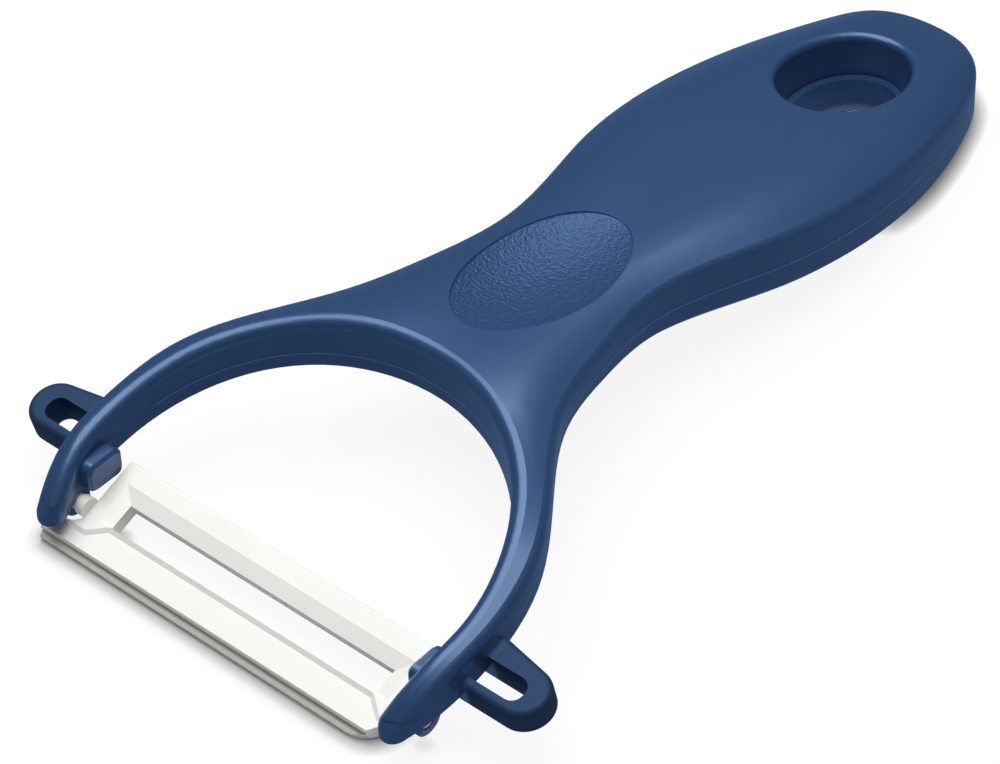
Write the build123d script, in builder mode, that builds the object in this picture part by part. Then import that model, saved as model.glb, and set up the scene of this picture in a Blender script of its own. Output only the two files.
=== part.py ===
from build123d import *
import os
from math import atan, cos, degrees, radians, sin, sqrt, tan

os.makedirs("parts", exist_ok=True)

# All sizes are millimetres. X runs along the blade, Y back along the handle and Z up from the table.
# A station is a distance along Y behind the pivot axis of the blade.
nose_reach = 5.4
throat_reach = 33.3
handle_reach = 131.4
handle_length = handle_reach - throat_reach
overall_length = nose_reach + handle_reach
pivot_y = nose_reach - overall_length / 2

# The blade rests on its front lower edge, tilted with its rear bar up.
blade_tilt = 20.0
blade_front_reach = 4.5
blade_front_slope = 1.0
blade_rear_reach = 7.5
blade_thickness = 2.4
blade_top_drop = 0.3
blade_half_length = 24.1
pivot_height = ((blade_front_reach + blade_front_slope) * sin(radians(blade_tilt))
                + (blade_top_drop + blade_thickness) * cos(radians(blade_tilt)))

# The slot runs between two end lands. Its rear edge and its ends carry a wide ground bevel.
slot_front_reach = -0.6
slot_width = 3.6
slot_end_land = 3.6
slot_half_length = blade_half_length - slot_end_land
bevel_width = 1.9
bevel_depth = 0.6

# The front bar lies a little lower than the rear bar. A crease runs out from the slot's front corners.
front_bar_drop = 0.35
crease_run = 0.55
crease_reach = 2.4
crease_sweep = 1.8
front_corner_round = 4.5
rear_corner_cut = 2.0
rear_edge_round = 0.4

# Front face of the blade, down from its top edge: shares of the slope and of the blade's thickness.
front_face_shares = [(0.0, 0.15), (0.30, 0.34), (0.12, 0.52), (0.80, 0.62), (1.0, 0.70), (1.0, 1.0)]

# Stop wing at the front left corner. It lies under the nose and meets it when the blade swings back.
wing_reach = 28.4
wing_root_reach = 1.2
wing_rear_reach = 2.2
wing_tip_reach = 3.0
wing_round = 0.9
wing_sweep = 0.9

journal_radius = 1.05
journal_root = 1.6
journal_length = 4.0
collar_radius = 1.3
collar_length = 1.1

# Seam between the two mouldings: two straight pitches joined by an arc over the throat.
yoke_pitch = 12.7
crest_station = 35.8
crest_height = 15.7
end_seam_height = 3.2
handle_pitch = degrees(atan((crest_height - end_seam_height) / (handle_reach - crest_station)))
crest_radius = 54.0
side_overrun = 14.0

# Plan outline of the body.
yoke_half_width = 30.0
grip_half_width = 17.2
horseshoe_radius = 26.5
horseshoe_station = 6.4
nose_radius = 1.85
nose_flare = 18.0
end_radius = 12.3
end_turn = 61.0
top_edge_round = 1.4
bottom_edge_cut = 0.8

# Rows of the yoke: shares of the throat's reach and of the five sizes named here.
arm_rise = 6.0
arm_drop = 3.4
arm_depth = 3.2
arm_lift = 0.3
yoke_row_shares = [
    (-0.225, 0.960, -0.38, 0.90, 0.95, 1.0),
    (-0.138, 0.960, 0.375, 0.90, 0.98, 1.0),
    (-0.060, 0.967, 0.73, 0.90, 1.00, 1.0),
    (0.060, 0.990, 1.01, 0.95, 1.00, 1.0),
    (0.258, 1.000, 1.08, 1.05, 1.00, 1.0),
    (0.563, 0.937, 1.08, 1.00, 0.94, 1.0),
    (0.835, 0.753, 0.92, 0.80, 0.90, 1.0),
]

# Rows of the handle: shares of its length and of the five sizes named here.
grip_rise = 6.5
grip_drop = 2.6
grip_depth = 4.6
grip_lift = 1.7
handle_row_shares = [
    (0.036, 0.971, 0.72, 0.85, 0.58, 0.15),
    (0.142, 0.791, 0.70, 0.75, 0.63, 0.18),
    (0.255, 0.686, 0.80, 0.65, 0.76, 0.20),
    (0.464, 0.919, 0.98, 0.85, 0.98, 0.30),
    (0.609, 1.000, 1.00, 0.95, 1.06, 0.32),
    (0.821, 0.855, 0.93, 1.00, 1.10, 0.65),
]
end_row_shares = [
    (0.935, 0.700, 0.84, 1.00, 0.885, 1.0),
    (1.000, 0.700, 0.64, 1.00, 0.710, 1.0),
    (1.080, 0.700, 0.26, 1.00, 0.500, 1.0),
]

# Thumb rest: an ellipse let into the top with an upright rim and a dished floor.
pad_station = 52.6
pad_half_width = 8.1
pad_half_length = 13.7
pad_rise = 5.05
pad_pitch = 4.4
pad_depth = 1.2
pad_side_sag = 0.40
pad_end_sag = 0.85

# Hanging hole, wider at its mouth than below. The lower moulding narrows it by a small ledge.
hole_station = 111.4
hole_half_width = 7.7
hole_half_length = 10.5
hole_taper = 8.0
hole_ledge = 0.8
hole_rim_round = 0.9

# Side loops, moulded with the lower shell and level with the seam.
loop_reach = 9.4
loop_tip_radius = 3.4
loop_tip_turn = 170.0
loop_depth = 4.2
loop_root = 2.0
loop_tip_station = 6.7
loop_hole_offset = -0.4
loop_hole_width = 3.2
loop_hole_reach = 6.6
loop_hole_round = 1.4
loop_top_round = 0.9
loop_bottom_cut = 0.9

# Pivot bores and their bosses, and the guide blocks beside the blade's ends.
bore_clearance = 0.05
boss_radius = 2.0
boss_inset = 0.15
guide_gap = 0.3
guide_front_station = 0.8
guide_rear_station = 6.2
guide_top_height = 9.5
guide_bottom_height = 5.5
guide_round = 1.2
guide_edge_cut = 0.4


def place_y(station):
    return pivot_y + station


def seam_height(station):
    front = radians(yoke_pitch)
    rear = radians(handle_pitch)
    tangent = crest_radius * tan((front + rear) / 2)
    front_station = crest_station - tangent * cos(front)
    rear_station = crest_station + tangent * cos(rear)
    if station < front_station:
        return crest_height - (crest_station - station) * tan(front)
    if station > rear_station:
        return crest_height - (station - crest_station) * tan(rear)
    centre_station = front_station + crest_radius * sin(front)
    centre_height = crest_height - tangent * sin(front) - crest_radius * cos(front)
    return centre_height + sqrt(crest_radius ** 2 - (station - centre_station) ** 2)


yoke_sizes = (throat_reach, yoke_half_width, arm_rise, arm_drop, arm_depth, arm_lift)
grip_sizes = (handle_length, grip_half_width, grip_rise, grip_drop, grip_depth, grip_lift)
body_rows = [[share * size for share, size in zip(row, yoke_sizes)] for row in yoke_row_shares]
for row in handle_row_shares + end_row_shares:
    scaled = [share * size for share, size in zip(row, grip_sizes)]
    body_rows.append([throat_reach + scaled[0]] + scaled[1:])

# A soft crown that falls away towards the sides. The belly below is the same curve turned over.
crown_shares = [(0, 0), (0.7, 0.24), (1.2, 2.07)]


def draw_section(half_width, middle, fall, base):
    right = [(x * half_width, middle - z * fall) for x, z in crown_shares]
    left = [(-x, z) for x, z in right[:0:-1]]
    crown = Spline(*left, *right)
    Polyline(crown @ 1, (right[-1][0], base), (left[0][0], base), crown @ 0)


with BuildPart() as top_envelope:
    for station, half_width, rise, drop, depth, lift in body_rows:
        with BuildSketch(Plane.XZ.offset(-place_y(station))):
            with BuildLine():
                draw_section(half_width, seam_height(station) + rise, drop, -side_overrun)
            make_face()
    loft()

with BuildPart() as below_belly:
    for station, half_width, rise, drop, depth, lift in body_rows:
        with BuildSketch(Plane.XZ.offset(-place_y(station))):
            with BuildLine():
                draw_section(half_width, seam_height(station) - depth, -lift, -2 * side_overrun)
            make_face()
    loft()

nose_tangent = (sin(radians(nose_flare)), cos(radians(nose_flare)))
nose_station = nose_radius - nose_reach
nose_half = sqrt((horseshoe_radius + nose_radius) ** 2 - (horseshoe_station - nose_station) ** 2)
nose_side = (nose_half + nose_radius * nose_tangent[1],
             place_y(nose_station) - nose_radius * nose_tangent[0])
inner_share = horseshoe_radius / (horseshoe_radius + nose_radius)
inner_tip = (inner_share * nose_half,
             place_y(horseshoe_station) + inner_share * (nose_station - horseshoe_station))
end_tangent = (-cos(radians(end_turn)), sin(radians(end_turn)))
end_side = (end_radius * end_tangent[1], place_y(handle_reach) - end_radius * (1 + end_tangent[0]))

# The body of both mouldings together, still open below.
with BuildPart() as body:
    with BuildSketch(Plane.XY.offset(-side_overrun)):
        with BuildLine():
            side_points = [(row[1], place_y(row[0])) for row in body_rows[3:-len(end_row_shares)]]
            outer = Spline(nose_side, *side_points, end_side, tangents=[nose_tangent, end_tangent],
                           tangent_scalars=[1, 1])
            RadiusArc(outer @ 1, (0, place_y(handle_reach)), -end_radius)
            ThreePointArc(inner_tip, (nose_half, place_y(-nose_reach)), outer @ 0)
            RadiusArc((0, place_y(horseshoe_station) + horseshoe_radius), inner_tip, horseshoe_radius)
            mirror(about=Plane.YZ)
        make_face()
    extrude(amount=crest_height + grip_rise + 2 * side_overrun)
    add(top_envelope.part, mode=Mode.INTERSECT)
    fillet(body.faces().sort_by(Axis.Z)[-1].outer_wire().edges(), radius=top_edge_round)

# Everything under the seam.
side_front = place_y(-nose_reach) - side_overrun
side_back = place_y(handle_reach) + side_overrun
side_reach = yoke_half_width + loop_reach + side_overrun
with BuildPart() as below_seam:
    with BuildSketch(Plane.YZ):
        with BuildLine():
            front_height = crest_height - (place_y(crest_station) - side_front) * tan(radians(yoke_pitch))
            back_height = crest_height - (side_back - place_y(crest_station)) * tan(radians(handle_pitch))
            seam = FilletPolyline((side_front, front_height), (place_y(crest_station), crest_height),
                                  (side_back, back_height), radius=crest_radius)
            Polyline(seam @ 1, (side_back, -side_overrun), (side_front, -side_overrun), seam @ 0)
        make_face()
    extrude(amount=side_reach, both=True)

# Side loops: a rounded finger with a slot, its top level with the seam.
loop_plane = Plane(origin=(0, place_y(loop_tip_station), seam_height(loop_tip_station)), x_dir=(1, 0, 0),
                   z_dir=(0, -sin(radians(yoke_pitch)), cos(radians(yoke_pitch))))
with BuildPart() as loops:
    with BuildSketch(loop_plane):
        with BuildLine():
            root = yoke_half_width - loop_root
            tip_front = (yoke_half_width + loop_reach - loop_tip_radius, -loop_tip_radius)
            front = Line((root, -loop_tip_radius), tip_front)
            tip = JernArc(tip_front, (1, 0), loop_tip_radius, loop_tip_turn)
            rear_run = (tip @ 1).X - root
            rear = ((tip @ 1).X - rear_run, (tip @ 1).Y - rear_run * tan(radians(loop_tip_turn)))
            Polyline(tip @ 1, rear, front @ 0)
        make_face()
    extrude(amount=-loop_depth)
    chamfer(loops.faces().sort_by(Axis.Z)[0].edges().sort_by(Axis.X)[1:], length=loop_bottom_cut)
    fillet(loops.faces().sort_by(Axis.Z)[-1].edges().sort_by(Axis.X)[1:], radius=loop_top_round)
    with BuildSketch(loop_plane):
        with Locations((yoke_half_width + loop_hole_reach / 2, loop_hole_offset)):
            RectangleRounded(loop_hole_reach, loop_hole_width, loop_hole_round)
        with Locations((yoke_half_width, loop_hole_offset)):
            Rectangle(loop_hole_reach, loop_hole_width)
    extrude(amount=-loop_depth, mode=Mode.SUBTRACT)
    mirror(about=Plane.YZ)

# Hanging hole: one tapered cutter for each moulding, measured at the middle of the mouth.
mouth_height = seam_height(hole_station) + grip_rise
hole_parts = []
for ledge in (0, hole_ledge):
    with BuildPart() as hole_cut:
        for level in (side_overrun, -mouth_height - side_overrun):
            growth = level * tan(radians(hole_taper)) - ledge
            with BuildSketch(Plane.XY.offset(mouth_height + level)):
                with Locations((0, place_y(hole_station))):
                    Ellipse(hole_half_width + growth, hole_half_length + growth)
        loft(ruled=True)
    hole_parts.append(hole_cut.part)

# Thumb rest: an elliptical plug whose lower end is rounded off by a very large ring.
pad_plane = Plane(origin=(0, place_y(pad_station), seam_height(pad_station) + pad_rise), x_dir=(1, 0, 0),
                  z_dir=(0, sin(radians(pad_pitch)), cos(radians(pad_pitch))))
pad_side_radius = (pad_half_width ** 2 + pad_side_sag ** 2) / (2 * pad_side_sag)
pad_end_radius = (pad_half_length ** 2 + pad_end_sag ** 2) / (2 * pad_end_sag)
with BuildPart() as pad_cut:
    with BuildSketch(pad_plane.offset(-2 * pad_depth)):
        Ellipse(pad_half_width, pad_half_length)
    extrude(amount=side_overrun)
    with Locations(pad_plane.location * Location((0, 0, pad_end_radius - pad_depth), (0, 90, 0))):
        Torus(pad_end_radius - pad_side_radius, pad_side_radius, mode=Mode.INTERSECT)

with BuildPart() as upper_shell:
    add(body.part)
    add(below_seam.part, mode=Mode.SUBTRACT)
    add(hole_parts[0], mode=Mode.SUBTRACT)
    rim = upper_shell.edges().filter_by_position(Axis.Y, place_y(hole_station - hole_half_length - 2),
                                                 place_y(hole_station + hole_half_length + 2))
    rim = rim.filter_by_position(Axis.X, -hole_half_width - 1, hole_half_width + 1)
    fillet(rim.sort_by(Axis.Z)[-1], radius=hole_rim_round)
    add(pad_cut.part, mode=Mode.SUBTRACT)
upper_shell.part.label = "upper_shell"
export_step(upper_shell.part, "parts/upper_shell.step")

boss_inner_half = sqrt(horseshoe_radius ** 2 - (horseshoe_station - boss_radius) ** 2)
boss_outer_half = nose_half + nose_radius - boss_inset
with BuildPart() as bosses:
    with BuildSketch(Plane.YZ.offset(boss_inner_half)):
        with Locations((pivot_y, pivot_height)):
            Circle(boss_radius)
    extrude(amount=boss_outer_half - boss_inner_half)
    mirror(about=Plane.YZ)

guide_inner_half = blade_half_length + guide_gap
with BuildPart() as guides:
    with BuildSketch(Plane.YZ.offset(guide_inner_half)):
        with BuildLine():
            Polyline((place_y(guide_front_station), guide_bottom_height),
                     (place_y(guide_rear_station), guide_bottom_height),
                     (place_y(guide_rear_station), guide_top_height),
                     (place_y(guide_front_station), guide_top_height), close=True)
        make_face()
        fillet(vertices(), radius=guide_round)
    extrude(amount=yoke_half_width - guide_inner_half - loop_root)
    chamfer(guides.faces().sort_by(Axis.X)[0].outer_wire().edges(), length=guide_edge_cut)
    mirror(about=Plane.YZ)

with BuildPart() as lower_shell:
    add(body.part)
    add(below_belly.part, mode=Mode.SUBTRACT)
    chamfer(lower_shell.faces().sort_by(Axis.Z)[0].outer_wire().edges(), length=bottom_edge_cut)
    add(below_seam.part, mode=Mode.INTERSECT)
    add(loops.part)
    add(bosses.part)
    add(guides.part - upper_shell.part)
    add(hole_parts[1], mode=Mode.SUBTRACT)
    split(bisect_by=Plane.XY, keep=Keep.TOP)
    with Locations(Location((0, pivot_y, pivot_height), (0, 90, 0))):
        Cylinder(journal_radius + bore_clearance, 2 * side_reach, mode=Mode.SUBTRACT)
lower_shell.part.label = "lower_shell"
export_step(lower_shell.part, "parts/lower_shell.step")

# Blade, drawn in its own tilted planes through the pivot axis.
tilt_cos = cos(radians(blade_tilt))
tilt_sin = sin(radians(blade_tilt))
blade_origin = (0, pivot_y, pivot_height)
blade_plane = Plane(origin=blade_origin, x_dir=(1, 0, 0), z_dir=(0, -tilt_sin, tilt_cos))
profile_plane = Plane(origin=blade_origin, x_dir=(0, tilt_cos, tilt_sin), z_dir=(1, 0, 0))
blade_top = blade_plane.offset(-blade_top_drop)
blade_nose_reach = blade_front_reach + blade_front_slope
slot_middle = slot_front_reach + slot_width / 2
with BuildPart() as bevel:
    with BuildSketch(blade_top):
        with Locations((0, slot_middle + bevel_width / 2)):
            Rectangle(2 * (slot_half_length + bevel_width), slot_width + bevel_width)
    with BuildSketch(blade_top.offset(-bevel_depth)):
        with Locations((0, slot_middle)):
            Rectangle(2 * slot_half_length, slot_width)
    loft(ruled=True)

with BuildPart() as blade:
    with BuildSketch(profile_plane.offset(-wing_reach)):
        with BuildLine():
            front_face = [(-blade_front_reach - x * blade_front_slope, -blade_top_drop - z * blade_thickness)
                          for x, z in front_face_shares]
            Polyline((blade_rear_reach, -blade_top_drop), (-blade_front_reach, -blade_top_drop), *front_face,
                     (blade_rear_reach, -blade_top_drop - blade_thickness), close=True)
        make_face()
    extrude(amount=2 * wing_reach)
    with BuildSketch(blade_top):
        with BuildLine():
            rear_left = blade_rear_reach - rear_corner_cut
            rear_inner = blade_half_length - rear_corner_cut
            Polyline((-blade_half_length, rear_left), (-rear_inner, blade_rear_reach),
                     (rear_inner, blade_rear_reach), (blade_half_length, rear_left),
                     (blade_half_length, front_corner_round - blade_nose_reach))
            RadiusArc((blade_half_length, front_corner_round - blade_nose_reach),
                      (blade_half_length - front_corner_round, -blade_nose_reach), front_corner_round)
            wing = FilletPolyline((-blade_half_length, -wing_root_reach),
                                  (-blade_half_length - wing_round, -wing_rear_reach),
                                  (-wing_reach, -wing_tip_reach), (-wing_reach, wing_round - blade_nose_reach),
                                  (-blade_half_length, -blade_nose_reach), radius=wing_sweep / 2)
            Line((-blade_half_length, rear_left), wing @ 0)
            Line(wing @ 1, (blade_half_length - front_corner_round, -blade_nose_reach))
        make_face()
    extrude(amount=-blade_thickness, mode=Mode.INTERSECT)
    with BuildSketch(blade_top):
        with BuildLine():
            far = wing_reach + crease_run
            crease_end = slot_half_length + crease_reach
            Polyline((-far, -crease_sweep + slot_front_reach), (-crease_end, -crease_sweep + slot_front_reach),
                     (-slot_half_length, slot_front_reach), (slot_half_length, slot_front_reach),
                     (crease_end, -crease_sweep + slot_front_reach), (far, -crease_sweep + slot_front_reach),
                     (far, -2 * blade_nose_reach), (-far, -2 * blade_nose_reach), close=True)
        make_face()
    extrude(amount=-front_bar_drop, taper=degrees(atan(crease_run / front_bar_drop)), mode=Mode.SUBTRACT)
    add(bevel.part, mode=Mode.SUBTRACT)
    with BuildSketch(blade_top):
        with Locations((0, slot_middle)):
            Rectangle(2 * slot_half_length, slot_width)
    extrude(amount=-blade_thickness, mode=Mode.SUBTRACT)
    with BuildSketch(profile_plane.offset(blade_half_length - journal_root)):
        Circle(journal_radius)
    extrude(amount=journal_root + journal_length)
    with BuildSketch(profile_plane.offset(-blade_half_length - journal_length)):
        Circle(journal_radius)
    extrude(amount=journal_root + journal_length)
    with BuildSketch(profile_plane.offset(blade_half_length - collar_length)):
        Circle(collar_radius)
    extrude(amount=2 * collar_length)
    with BuildSketch(profile_plane.offset(-blade_half_length - collar_length)):
        Circle(collar_radius)
    extrude(amount=2 * collar_length)
    rear = blade.edges().filter_by(Axis.X).sort_by(Axis.Y)[-2:]
    fillet(rear, radius=rear_edge_round)
blade.part.label = "blade"
export_step(blade.part, "parts/blade.step")
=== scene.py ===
from math import cos, pi, radians, sin
import bpy
from mathutils import Matrix, Vector


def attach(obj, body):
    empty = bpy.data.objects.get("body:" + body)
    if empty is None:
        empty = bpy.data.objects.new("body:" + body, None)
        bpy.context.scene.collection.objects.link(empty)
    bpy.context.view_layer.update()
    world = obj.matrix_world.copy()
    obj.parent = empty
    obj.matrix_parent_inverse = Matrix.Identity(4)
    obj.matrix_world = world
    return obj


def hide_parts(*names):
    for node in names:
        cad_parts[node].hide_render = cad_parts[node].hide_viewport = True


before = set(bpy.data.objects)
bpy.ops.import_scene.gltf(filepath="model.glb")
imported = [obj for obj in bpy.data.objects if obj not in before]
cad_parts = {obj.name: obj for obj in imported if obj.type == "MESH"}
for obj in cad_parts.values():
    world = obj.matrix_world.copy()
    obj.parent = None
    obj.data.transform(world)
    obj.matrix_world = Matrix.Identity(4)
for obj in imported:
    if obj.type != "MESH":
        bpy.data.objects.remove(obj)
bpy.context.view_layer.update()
bpy.ops.object.select_all(action="DESELECT")
scene = bpy.context.scene
scene.view_settings.view_transform = "Standard"

# The camera stands in front of the blade's right end and looks down along the handle through a
# long lens, as the photograph was taken.
camera_azimuth = radians(42.54)
camera_height_angle = radians(42.49)
camera_lean = radians(-2.42)
camera_place = Vector((0.2297, -0.2688, 0.3175))
lens_mm = 140.4
bpy.ops.object.camera_add(location=camera_place)
camera = bpy.context.object
camera.rotation_euler = (Matrix.Rotation(camera_azimuth, 4, "Z")
                         @ Matrix.Rotation(pi / 2 - camera_height_angle, 4, "X")
                         @ Matrix.Rotation(camera_lean, 4, "Z")).to_euler()
camera.data.lens = lens_mm
scene.camera = camera

# The light is one large soft box high over the table, slightly behind the peeler and to its left.
# Faces that turn up to it are bright, and the walls fall off to navy.
box_width = 1.0
box_place = Vector((-0.15, 0.10, 0.98))
box_watts = 11.5
bpy.ops.object.light_add(type="AREA", location=box_place)
soft_box = bpy.context.object
soft_box.name = "soft_box"
soft_box.data.shape = "SQUARE"
soft_box.data.size = box_width
soft_box.data.energy = box_watts
soft_box.rotation_euler = (-box_place).to_track_quat("-Z", "Y").to_euler()


class Wire:
    """One end of a shader wire. Sums and products of wires add the Math nodes that work them out."""

    def __init__(self, tree, end=None):
        self.tree = tree
        self.end = end

    def node(self, kind, settings=None, inputs=None, output=0):
        """Adds a node of any kind: first its settings, then a value or a wire into each input."""
        made = self.tree.nodes.new(kind)
        for name, setting in (settings or {}).items():
            setattr(made, name, setting)
        for place, value in (inputs or {}).items():
            if isinstance(value, Wire):
                self.tree.links.new(value.end, made.inputs[place])
            else:
                made.inputs[place].default_value = value
        return Wire(self.tree, made.outputs[output] if made.outputs else None)

    def maths(self, operation, first, second):
        return self.node("ShaderNodeMath", {"operation": operation}, {0: first, 1: second})

    def __add__(self, other):
        return self.maths("ADD", self, other)

    def __radd__(self, other):
        return self.maths("ADD", other, self)

    def __sub__(self, other):
        return self.maths("SUBTRACT", self, other)

    def __rsub__(self, other):
        return self.maths("SUBTRACT", other, self)

    def __mul__(self, other):
        return self.maths("MULTIPLY", self, other)

    def __rmul__(self, other):
        return self.maths("MULTIPLY", other, self)

    def __truediv__(self, other):
        return self.maths("DIVIDE", self, other)

    def __pow__(self, other):
        return self.maths("POWER", self, other)

    def __abs__(self):
        return self.maths("ABSOLUTE", self, 0.0)


def fade(wire, start, full, least=0.0, most=1.0):
    """A soft step: least where the wire is at start, and most where it is at full."""
    return wire.node("ShaderNodeMapRange", {"interpolation_type": "SMOOTHSTEP"}, {
        "Value": wire, "From Min": start, "From Max": full, "To Min": least, "To Max": most})


def blend(share, first, second):
    """The first colour, turned into the second where share is 1."""
    return share.node("ShaderNodeMix", {"data_type": "RGBA"}, {0: share, 6: first, 7: second}, output=2)


# The room is dim at eye level and pale overhead, which gives the gloss a soft fall-off round the
# soft box. A camera sees it white behind the table's far edge.
white = (1, 1, 1, 1)
wall_grey = 0.06
ceiling_grey = 0.75
ceiling_start = 0.68
ceiling_full = 0.98
room = bpy.data.worlds.new("room")
scene.world = room
room.use_nodes = True
room.node_tree.nodes.clear()
air = Wire(room.node_tree)
seen = air.node("ShaderNodeLightPath", output="Is Camera Ray")
sight = air.node("ShaderNodeTexCoord", output="Generated")
upward_sight = air.node("ShaderNodeSeparateXYZ", inputs={"Vector": sight}, output="Z")
overhead = fade(upward_sight, ceiling_start, ceiling_full, wall_grey, ceiling_grey)
shine = air.node("ShaderNodeBackground", inputs={
    "Color": blend(seen, overhead, white), "Strength": 1.0})
air.node("ShaderNodeOutputWorld", inputs={"Surface": shine})

# The table is a plain matt white board. To the eye most of its white is a glow, which keeps the
# object's shadow light. Ambient occlusion darkens the glow only where something nearly touches it,
# a painted contact shadow. In the handle's gloss the board shows a painted dim blue, the dim blue
# that the photograph's low walls show.
board_width = 3.0
bounce_grey = (0.75, 0.75, 0.75, 1)
painted_reflection_blue = (0.10, 0.18, 0.33, 1)
glow_share = 0.90
contact_reach = 0.0026
contact_power = 2.0
contact_samples = 16
bpy.ops.mesh.primitive_plane_add(size=board_width)
table = bpy.context.object
table.name = "table"
paper = bpy.data.materials.new("white_board")
table.data.materials.append(paper)
paper.use_nodes = True
paper.node_tree.nodes.clear()
board = Wire(paper.node_tree)
eye = board.node("ShaderNodeLightPath", output="Is Camera Ray")
through = board.node("ShaderNodeLightPath", output="Is Transmission Ray")
gloss = board.node("ShaderNodeLightPath", output="Is Glossy Ray")
looked_at = board.maths("MAXIMUM", eye, through)
# Ambient occlusion in the glow's strength paints the contact shadow.
painted_contact_shadow = board.node("ShaderNodeAmbientOcclusion", {"samples": contact_samples},
                     {"Distance": contact_reach}, output="AO")
lit_board = board.node("ShaderNodeBsdfDiffuse", inputs={"Color": blend(looked_at, bounce_grey, white)})
glow = board.node("ShaderNodeEmission", inputs={
    "Color": blend(gloss, white, painted_reflection_blue),
    "Strength": board.maths("MAXIMUM", painted_contact_shadow ** contact_power, gloss)})
seen_board = board.node("ShaderNodeMixShader", inputs={
    0: board.maths("MAXIMUM", glow_share * looked_at, gloss), 1: lit_board, 2: glow})
board.node("ShaderNodeOutputMaterial", inputs={"Surface": seen_board})
bpy.ops.object.select_all(action="DESELECT")

# The handle is two glossy navy mouldings, an upper and a lower shell, pressed together along a seam
# round the grip and the horseshoe. The moulds are polished, but the two side loops are left duller
# and their colour is darkened, a painted shade.
navy = (0.026, 0.065, 0.163, 1)
deep_navy = (0.022, 0.057, 0.145, 1)
cloud_scale = 38.0
cloud_detail = 3.0
flow_stretch = (3.0, 1.0, 3.0)
flow_scale = 120.0
flow_detail = 4.0
ripple_scale = 260.0
ripple_detail = 1.0
ripple_height = 0.000003
polish = 0.32
flow_dullness = 0.06
gloss_level = 0.95
gloss_tint = (0.28, 0.52, 1.0, 1)
skin_gloss = 0.45
skin_polish = 0.20
arm_width = 0.0305
loop_start = -0.0004
loop_full = 0.0008
loop_painted_shade = 0.36
loop_dullness = 0.3

# The seam rises along the yoke to a crest behind the horseshoe and falls along the grip. The upper
# shell ends in a fine dark joint, and under it the lower shell's top edge is lightened, a painted
# highlight where that edge would catch the light.
crest_y = -0.0272
crest_z = 0.0157
crest_blend = 0.0051
yoke_rise = 0.2254
grip_fall = 0.1308
seam_width = 0.0002
seam_shade = 0.55
seam_depth = 0.00006
glint_drop = 0.00016
painted_glint_gain = 1.5
block_y = -0.0495
block_fade = 0.001

# The thumb rest is an oval in the upper shell, lightly dished, with a low wall round it. The colour
# of that steep wall is lightened, a painted light. Its mould is spark-eroded, which leaves a grain
# of flat pebbles.
rest_y = -0.0104
rest_half_width = 0.0081
rest_half_length = 0.0137
rest_dish = 0.0018
rest_start = 1.06
rest_full = 1.03
wall_start = 0.93
wall_full = 0.75
wall_painted_light = 3.2
grain_start = 0.985
grain_full = 0.93
grain_dullness = 0.10
pebble_size = 0.00042
pebble_blur = 0.7
pebble_height = 0.00013
crumb_share = 1.3
crumb_detail = 2.0

# The lower shell rolls inwards to its low edge, and a pale band along that edge is a painted
# reflection of the white table.
roll_start = 0.0015
roll_reach = 0.0030
roll_depth = 0.0009
low_edge_painted_reflection = (0.30, 0.36, 0.58, 1)
low_edge_start = 0.72
low_edge_full = 0.95
low_edge_reflection_share = 0.45
underside_start = -0.8
side_full = -0.45

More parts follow.
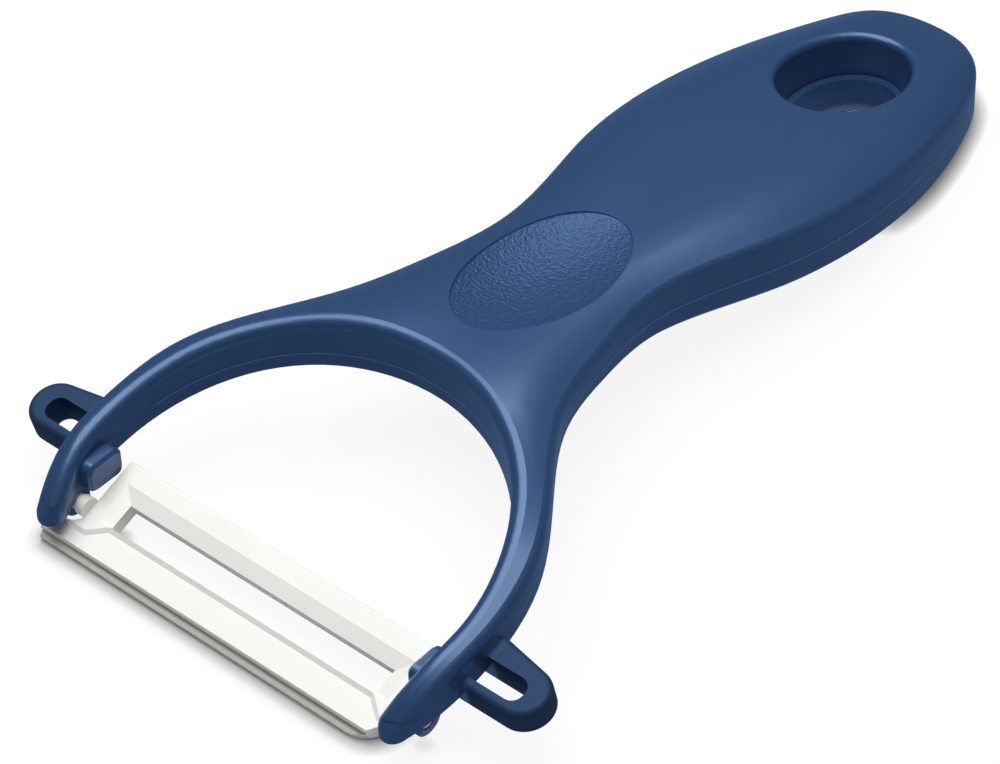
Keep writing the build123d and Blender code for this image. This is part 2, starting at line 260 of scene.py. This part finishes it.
for shell_name, is_upper in (("upper_shell", True), ("lower_shell", False)):
    plastic = bpy.data.materials.new(shell_name + "_navy_plastic")
    plastic.use_nodes = True
    plastic.node_tree.nodes.clear()
    skin = Wire(plastic.node_tree)
    place = skin.node("ShaderNodeTexCoord", output="Object")
    facing = skin.node("ShaderNodeTexCoord", output="Normal")
    upward = skin.node("ShaderNodeSeparateXYZ", inputs={"Vector": facing}, output="Z")
    x = skin.node("ShaderNodeSeparateXYZ", inputs={"Vector": place}, output="X")
    y = skin.node("ShaderNodeSeparateXYZ", inputs={"Vector": place}, output="Y")
    z = skin.node("ShaderNodeSeparateXYZ", inputs={"Vector": place}, output="Z")
    behind_crest = y - crest_y
    seam = skin.node("ShaderNodeMath", {"operation": "SMOOTH_MIN"}, {
        0: crest_z + behind_crest * yoke_rise,
        1: crest_z - behind_crest * grip_fall,
        2: crest_blend})
    over_seam = z - seam
    on_loop = fade(abs(x) - arm_width, loop_start, loop_full)

    cloud = skin.node("ShaderNodeTexNoise", inputs={
        "Vector": place, "Scale": cloud_scale, "Detail": cloud_detail})
    stretched = skin.node("ShaderNodeMapping", inputs={"Vector": place, "Scale": flow_stretch})
    flow = skin.node("ShaderNodeTexNoise", inputs={
        "Vector": stretched, "Scale": flow_scale, "Detail": flow_detail})
    ripple = skin.node("ShaderNodeTexNoise", inputs={
        "Vector": place, "Scale": ripple_scale, "Detail": ripple_detail})
    colour = blend(cloud, deep_navy, navy)
    # The side loops' colour is darkened here, a painted shade.
    shade = 1 - (1 - loop_painted_shade) * on_loop
    rough = polish + flow_dullness * flow + loop_dullness * on_loop
    height = ripple_height * ripple

    if is_upper:
        on_seam = (1 - on_loop) * fade(abs(over_seam), seam_width, 0.0)
        across = x / rest_half_width
        along = (y - rest_y) / rest_half_length
        reach = across * across + along * along
        on_grain = fade(reach, grain_start, grain_full)
        on_wall = fade(reach, rest_start, rest_full) * fade(upward, wall_start, wall_full)
        pebbles = skin.node("ShaderNodeTexVoronoi", {"feature": "SMOOTH_F1"}, {
            "Vector": place, "Scale": 1 / pebble_size, "Smoothness": pebble_blur})
        crumbs = skin.node("ShaderNodeTexNoise", inputs={
            "Vector": place, "Scale": crumb_share / pebble_size, "Detail": crumb_detail})
        # The seam darkens as a dark joint, and the rest's steep wall is lightened with painted light.
        shade = shade * (1 - (1 - seam_shade) * on_seam) * (1 + wall_painted_light * on_wall)
        rough = rough + grain_dullness * on_grain
        height = (height - seam_depth * on_seam + rest_dish * skin.maths("MINIMUM", reach, 1.0)
                  + on_grain * pebble_height * (crumbs - pebbles))
    else:
        low = skin.node("ShaderNodeMapRange", {"interpolation_type": "LINEAR"}, {
            "Value": over_seam, "From Min": -roll_start, "From Max": -roll_start - roll_reach})
        past_block = fade(y, block_y - block_fade, block_y)
        # A painted highlight lightens a thin band of the lower shell just under the seam.
        on_painted_glint = fade(abs(over_seam + glint_drop), glint_drop, 0.0) * past_block * (1 - on_loop)
        on_side = fade(upward, underside_start, side_full)
        # A pale painted reflection of the white table is blended into the side walls' low edge.
        on_painted_reflection = fade(low, low_edge_start, low_edge_full, 0.0, low_edge_reflection_share) * on_side
        colour = blend(on_painted_reflection, colour, low_edge_painted_reflection)
        shade = shade * (1 + painted_glint_gain * on_painted_glint)
        height = height - roll_depth * low * low

    shaded = skin.node("ShaderNodeVectorMath", {"operation": "SCALE"}, {0: colour, "Scale": shade})
    bumped = skin.node("ShaderNodeBump", inputs={"Height": height, "Strength": 1.0, "Distance": 1.0})
    surface = skin.node("ShaderNodeBsdfPrincipled", inputs={
        "Base Color": shaded,
        "Roughness": rough,
        "Normal": bumped,
        "Specular IOR Level": gloss_level,
        "Specular Tint": gloss_tint,
        "Coat Weight": skin_gloss * (1 - on_loop),
        "Coat Roughness": skin_polish})
    skin.node("ShaderNodeOutputMaterial", inputs={"Surface": surface})
    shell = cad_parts[shell_name]
    shell.data.materials.clear()
    shell.data.materials.append(plastic)

# The blade is one plate of zirconia with its journals, fired and then ground. It follows the CAD
# blade, but its rear corners are square, its stop wing is ground straight to its end, and the ends
# of its journals are ground off flush where they would stand on the plate.
tilt = radians(20.0)
pivot = Vector((0, -0.063, 0.004418))
half_length = 0.0241
wing_reach = 0.0284
wing_root = 0.0238
front_top_reach = 0.0044
corner_cut = 0.002
corner_spread = 0.0006
rear_reach = 0.0075
journal_radius = 0.00136
journal_foot = -0.0007
journal_start = 0.02245
weld_reach = 0.000002
flat_angle = radians(1.0)
upright = Matrix.Translation(pivot) @ Matrix.Rotation(tilt, 4, "X")
blade_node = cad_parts["blade"]
blade = bpy.data.objects.new("ground_blade", blade_node.data.copy())
scene.collection.objects.link(blade)
bpy.context.view_layer.objects.active = blade
blade.select_set(True)
bpy.ops.object.mode_set(mode="EDIT")
bpy.ops.mesh.select_mode(type="VERT")
bpy.ops.mesh.select_all(action="SELECT")
bpy.ops.mesh.remove_doubles(threshold=weld_reach)
bpy.ops.mesh.dissolve_limited(angle_limit=flat_angle)


def is_rear_corner(side, spot):
    near_end = abs(side * spot.x - half_length + corner_cut) < corner_spread
    return near_end and rear_reach - spot.y < corner_spread


def is_journal_end(side, spot):
    near_axis = abs(spot.y) < journal_radius and spot.z > journal_foot
    return near_axis and journal_start < side * spot.x < half_length


def is_wing_front(side, spot):
    return spot.y < -front_top_reach and wing_root < side * spot.x < wing_reach


left, right = -1, 1
for is_there, side, plane in ((is_rear_corner, left, half_length), (is_rear_corner, right, half_length),
                              (is_journal_end, left, half_length), (is_journal_end, right, half_length),
                              (is_wing_front, left, wing_reach)):
    bpy.ops.mesh.select_all(action="DESELECT")
    bpy.ops.object.mode_set(mode="OBJECT")
    for corner in blade.data.vertices:
        corner.select = is_there(side, upright.inverted() @ corner.co)
    bpy.ops.object.mode_set(mode="EDIT")
    bpy.ops.transform.resize(value=(0.0, 1.0, 1.0), center_override=(side * plane, 0.0, 0.0))
bpy.ops.mesh.select_all(action="SELECT")
bpy.ops.mesh.remove_doubles(threshold=weld_reach)
bpy.ops.mesh.dissolve_degenerate(threshold=weld_reach)
bpy.ops.object.mode_set(mode="OBJECT")

# Zirconia is an ivory white. The grinding leaves it satin, with fine marks along the blade. The
# steep front is painted olive, lightly all over and fully in a band along its groove: painted shade.
ivory = (0.90, 0.893, 0.868, 1)
shade_ivory = (0.84, 0.84, 0.80, 1)
mottle_scale = 180.0
mottle_detail = 4.0
olive_painted_shade = (0.36, 0.385, 0.27, 1)
front_start = -0.0045
front_full = -0.0047
groove_depth = 0.00135
groove_reach = 0.00055
front_painted_shade_share = 0.3
mark_stretch = (0.08, 1.0, 1.0)
mark_scale = 5200.0
mark_detail = 2.0
mark_strength = 0.25
mark_height = 0.00002
satin = 0.38
mark_dullness = 0.1
ceramic = bpy.data.materials.new("ivory_zirconia")
ceramic.use_nodes = True
ceramic.node_tree.nodes.clear()
clay = Wire(ceramic.node_tree)
where = clay.node("ShaderNodeTexCoord", output="Object")
back = clay.node("ShaderNodeSeparateXYZ", inputs={"Vector": where}, output="Y") - pivot.y
rise = clay.node("ShaderNodeSeparateXYZ", inputs={"Vector": where}, output="Z") - pivot.z
on_front = fade(back * cos(tilt) + rise * sin(tilt), front_start, front_full)
depth = back * sin(tilt) - rise * cos(tilt)
groove = fade(abs(depth - groove_depth), groove_reach, 0.0, front_painted_shade_share, 1.0)
mottle = clay.node("ShaderNodeTexNoise", inputs={
    "Vector": where, "Scale": mottle_scale, "Detail": mottle_detail})
# The olive on the steep front, strongest in the groove band, is painted shade.
tint = blend(on_front * groove, blend(mottle, shade_ivory, ivory), olive_painted_shade)
drawn_out = clay.node("ShaderNodeMapping", inputs={"Vector": where, "Scale": mark_stretch})
marks = clay.node("ShaderNodeTexNoise", inputs={
    "Vector": drawn_out, "Scale": mark_scale, "Detail": mark_detail})
marked = clay.node("ShaderNodeBump", inputs={
    "Height": marks, "Strength": mark_strength, "Distance": mark_height})
glaze = clay.node("ShaderNodeBsdfPrincipled", inputs={
    "Base Color": tint, "Roughness": satin + mark_dullness * marks, "Normal": marked})
clay.node("ShaderNodeOutputMaterial", inputs={"Surface": glaze})
blade.data.materials.clear()
blade.data.materials.append(ceramic)
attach(blade, "blade")
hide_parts("blade")
